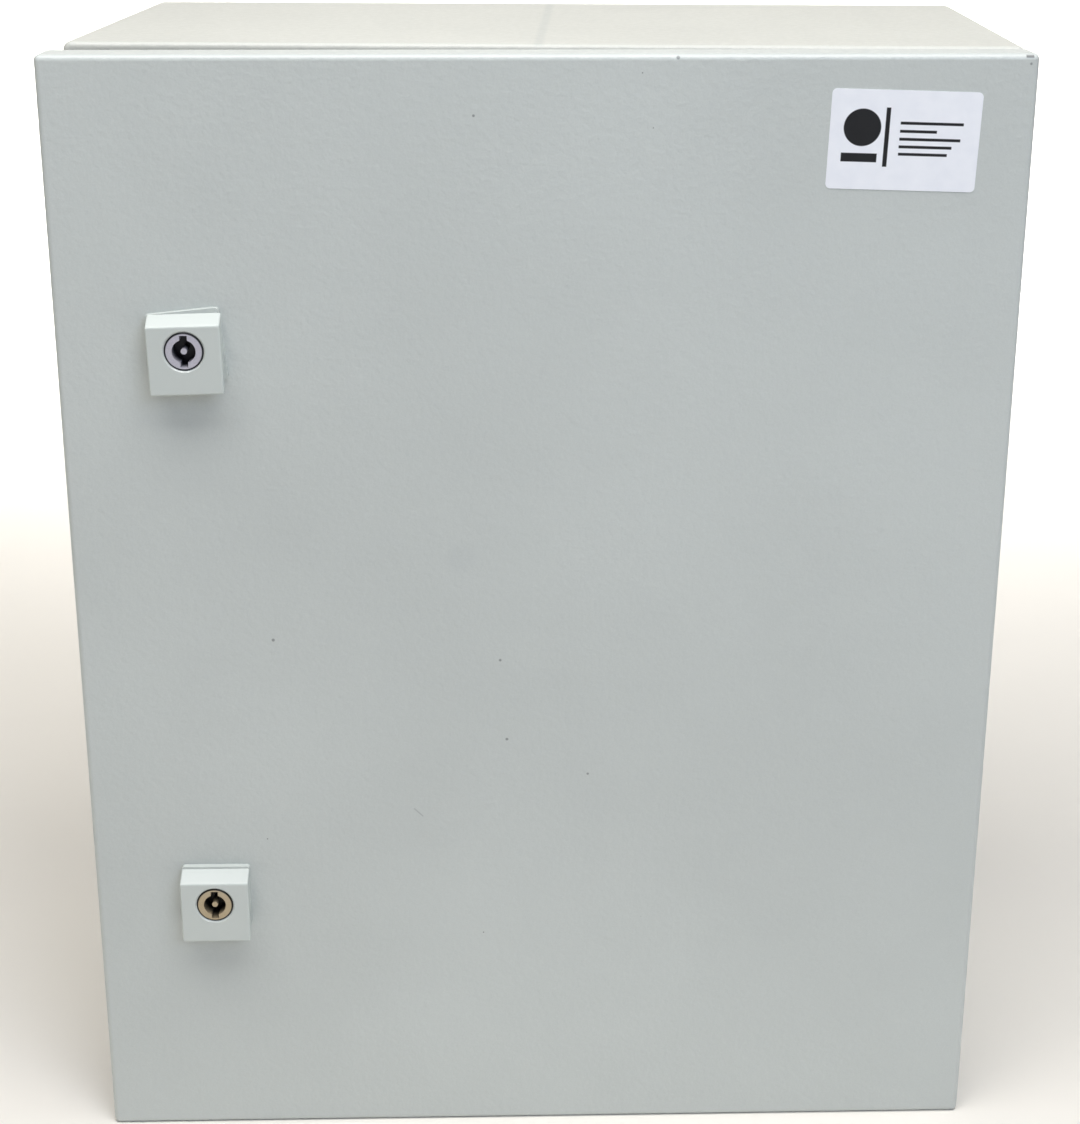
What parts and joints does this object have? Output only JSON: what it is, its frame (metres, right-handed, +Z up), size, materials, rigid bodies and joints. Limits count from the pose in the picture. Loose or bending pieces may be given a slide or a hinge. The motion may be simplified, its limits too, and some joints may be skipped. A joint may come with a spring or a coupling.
{
  "type": "wall-mounted switchboard cabinet",
  "caption": "Folded sheet-steel wall cabinet with a gasketed hinged door standing ajar, double-bit cam locks, a mounting plate and a cable entry plate in its floor.",
  "frame": {"origin": "centre of the four wall-fixing holes, on the back face", "axes": "+Z up; +Y into the wall, so the door looks along -Y; +X to the right seen from in front of the door, towards its hinges"},
  "size_m": [0.4004, 0.2297, 0.5],
  "materials": {
    "body_powder_coat": "fine orange-peel powder coat, light grey, semi-gloss",
    "door_powder_coat": "fine orange-peel powder coat, light grey, semi-gloss",
    "gland_plate_powder_coat": "fine orange-peel powder coat, light grey, semi-gloss",
    "lock_powder_coat": "smooth light grey coat on zinc die-cast, semi-gloss",
    "galvanised_sheet": "hot-dip galvanised, faint spangle",
    "bright_zinc_plate": "bright zinc plated",
    "zinc_die_cast": "tumbled zinc die-cast, satin",
    "ground_steel_pin": "ground stainless steel",
    "copper_flashed_steel": "copper-flashed weld stud",
    "upper_insert_plating": "nickel plated zinc die-cast",
    "lower_insert_plating": "yellow passivated zinc die-cast",
    "foamed_polyurethane": "foamed-in-place polyurethane, matt",
    "cellular_rubber": "closed-cell rubber, matt",
    "label_film": "printed polyester film, satin"
  },
  "bodies": {
    "cabinet": {"body_earth_nut": "bright_zinc_plate", "body_earth_stud": "copper_flashed_steel", "body_earth_washer": "bright_zinc_plate", "body_wrap": "body_powder_coat", "gland_plate": "gland_plate_powder_coat", "gland_plate_gasket": "cellular_rubber", "gland_plate_screws": "bright_zinc_plate", "hinge_bracket_screws": "bright_zinc_plate", "lower_hinge_bracket": "zinc_die_cast", "lower_hinge_pin": "ground_steel_pin", "mounting_plate": "galvanised_sheet", "plate_nuts": "bright_zinc_plate", "plate_studs": "bright_zinc_plate", "plate_washers": "bright_zinc_plate", "rear_panel": "body_powder_coat", "upper_hinge_bracket": "zinc_die_cast", "upper_hinge_pin": "ground_steel_pin"},
    "door": {"door_earth_nut": "bright_zinc_plate", "door_earth_stud": "copper_flashed_steel", "door_earth_washer": "bright_zinc_plate", "door_gasket": "foamed_polyurethane", "door_panel": "door_powder_coat", "door_rail_left": "galvanised_sheet", "door_rail_right": "galvanised_sheet", "lower_door_knuckle": "zinc_die_cast", "lower_lock_base": "lock_powder_coat", "lower_lock_housing": "lock_powder_coat", "lower_lock_nut": "zinc_die_cast", "rating_label": "label_film", "upper_door_knuckle": "zinc_die_cast", "upper_lock_base": "lock_powder_coat", "upper_lock_housing": "lock_powder_coat", "upper_lock_nut": "zinc_die_cast"},
    "upper_lock_core": {"upper_lock_cam": "bright_zinc_plate", "upper_lock_cam_screw": "bright_zinc_plate", "upper_lock_cam_washer": "bright_zinc_plate", "upper_lock_insert": "upper_insert_plating"},
    "lower_lock_core": {"lower_lock_cam": "bright_zinc_plate", "lower_lock_cam_screw": "bright_zinc_plate", "lower_lock_cam_washer": "bright_zinc_plate", "lower_lock_insert": "lower_insert_plating"}
  },
  "joints": [
    {"name": "door_hinge", "type": "hinge", "parent": "cabinet", "child": "door", "pos_m": [0.1925, -0.191, 0], "axis": [0, 0, 1], "range_deg": [-3.25, 116.75]},
    {"name": "upper_lock_turn", "type": "hinge", "parent": "door", "child": "upper_lock_core", "pos_m": [-0.14445, -0.21915, 0.131], "axis": [-0.0567, 0.9984, 0], "range_deg": [0, 90]},
    {"name": "lower_lock_turn", "type": "hinge", "parent": "door", "child": "lower_lock_core", "pos_m": [-0.14445, -0.21915, -0.127], "axis": [-0.0567, 0.9984, 0], "range_deg": [0, 90]}
  ]
}
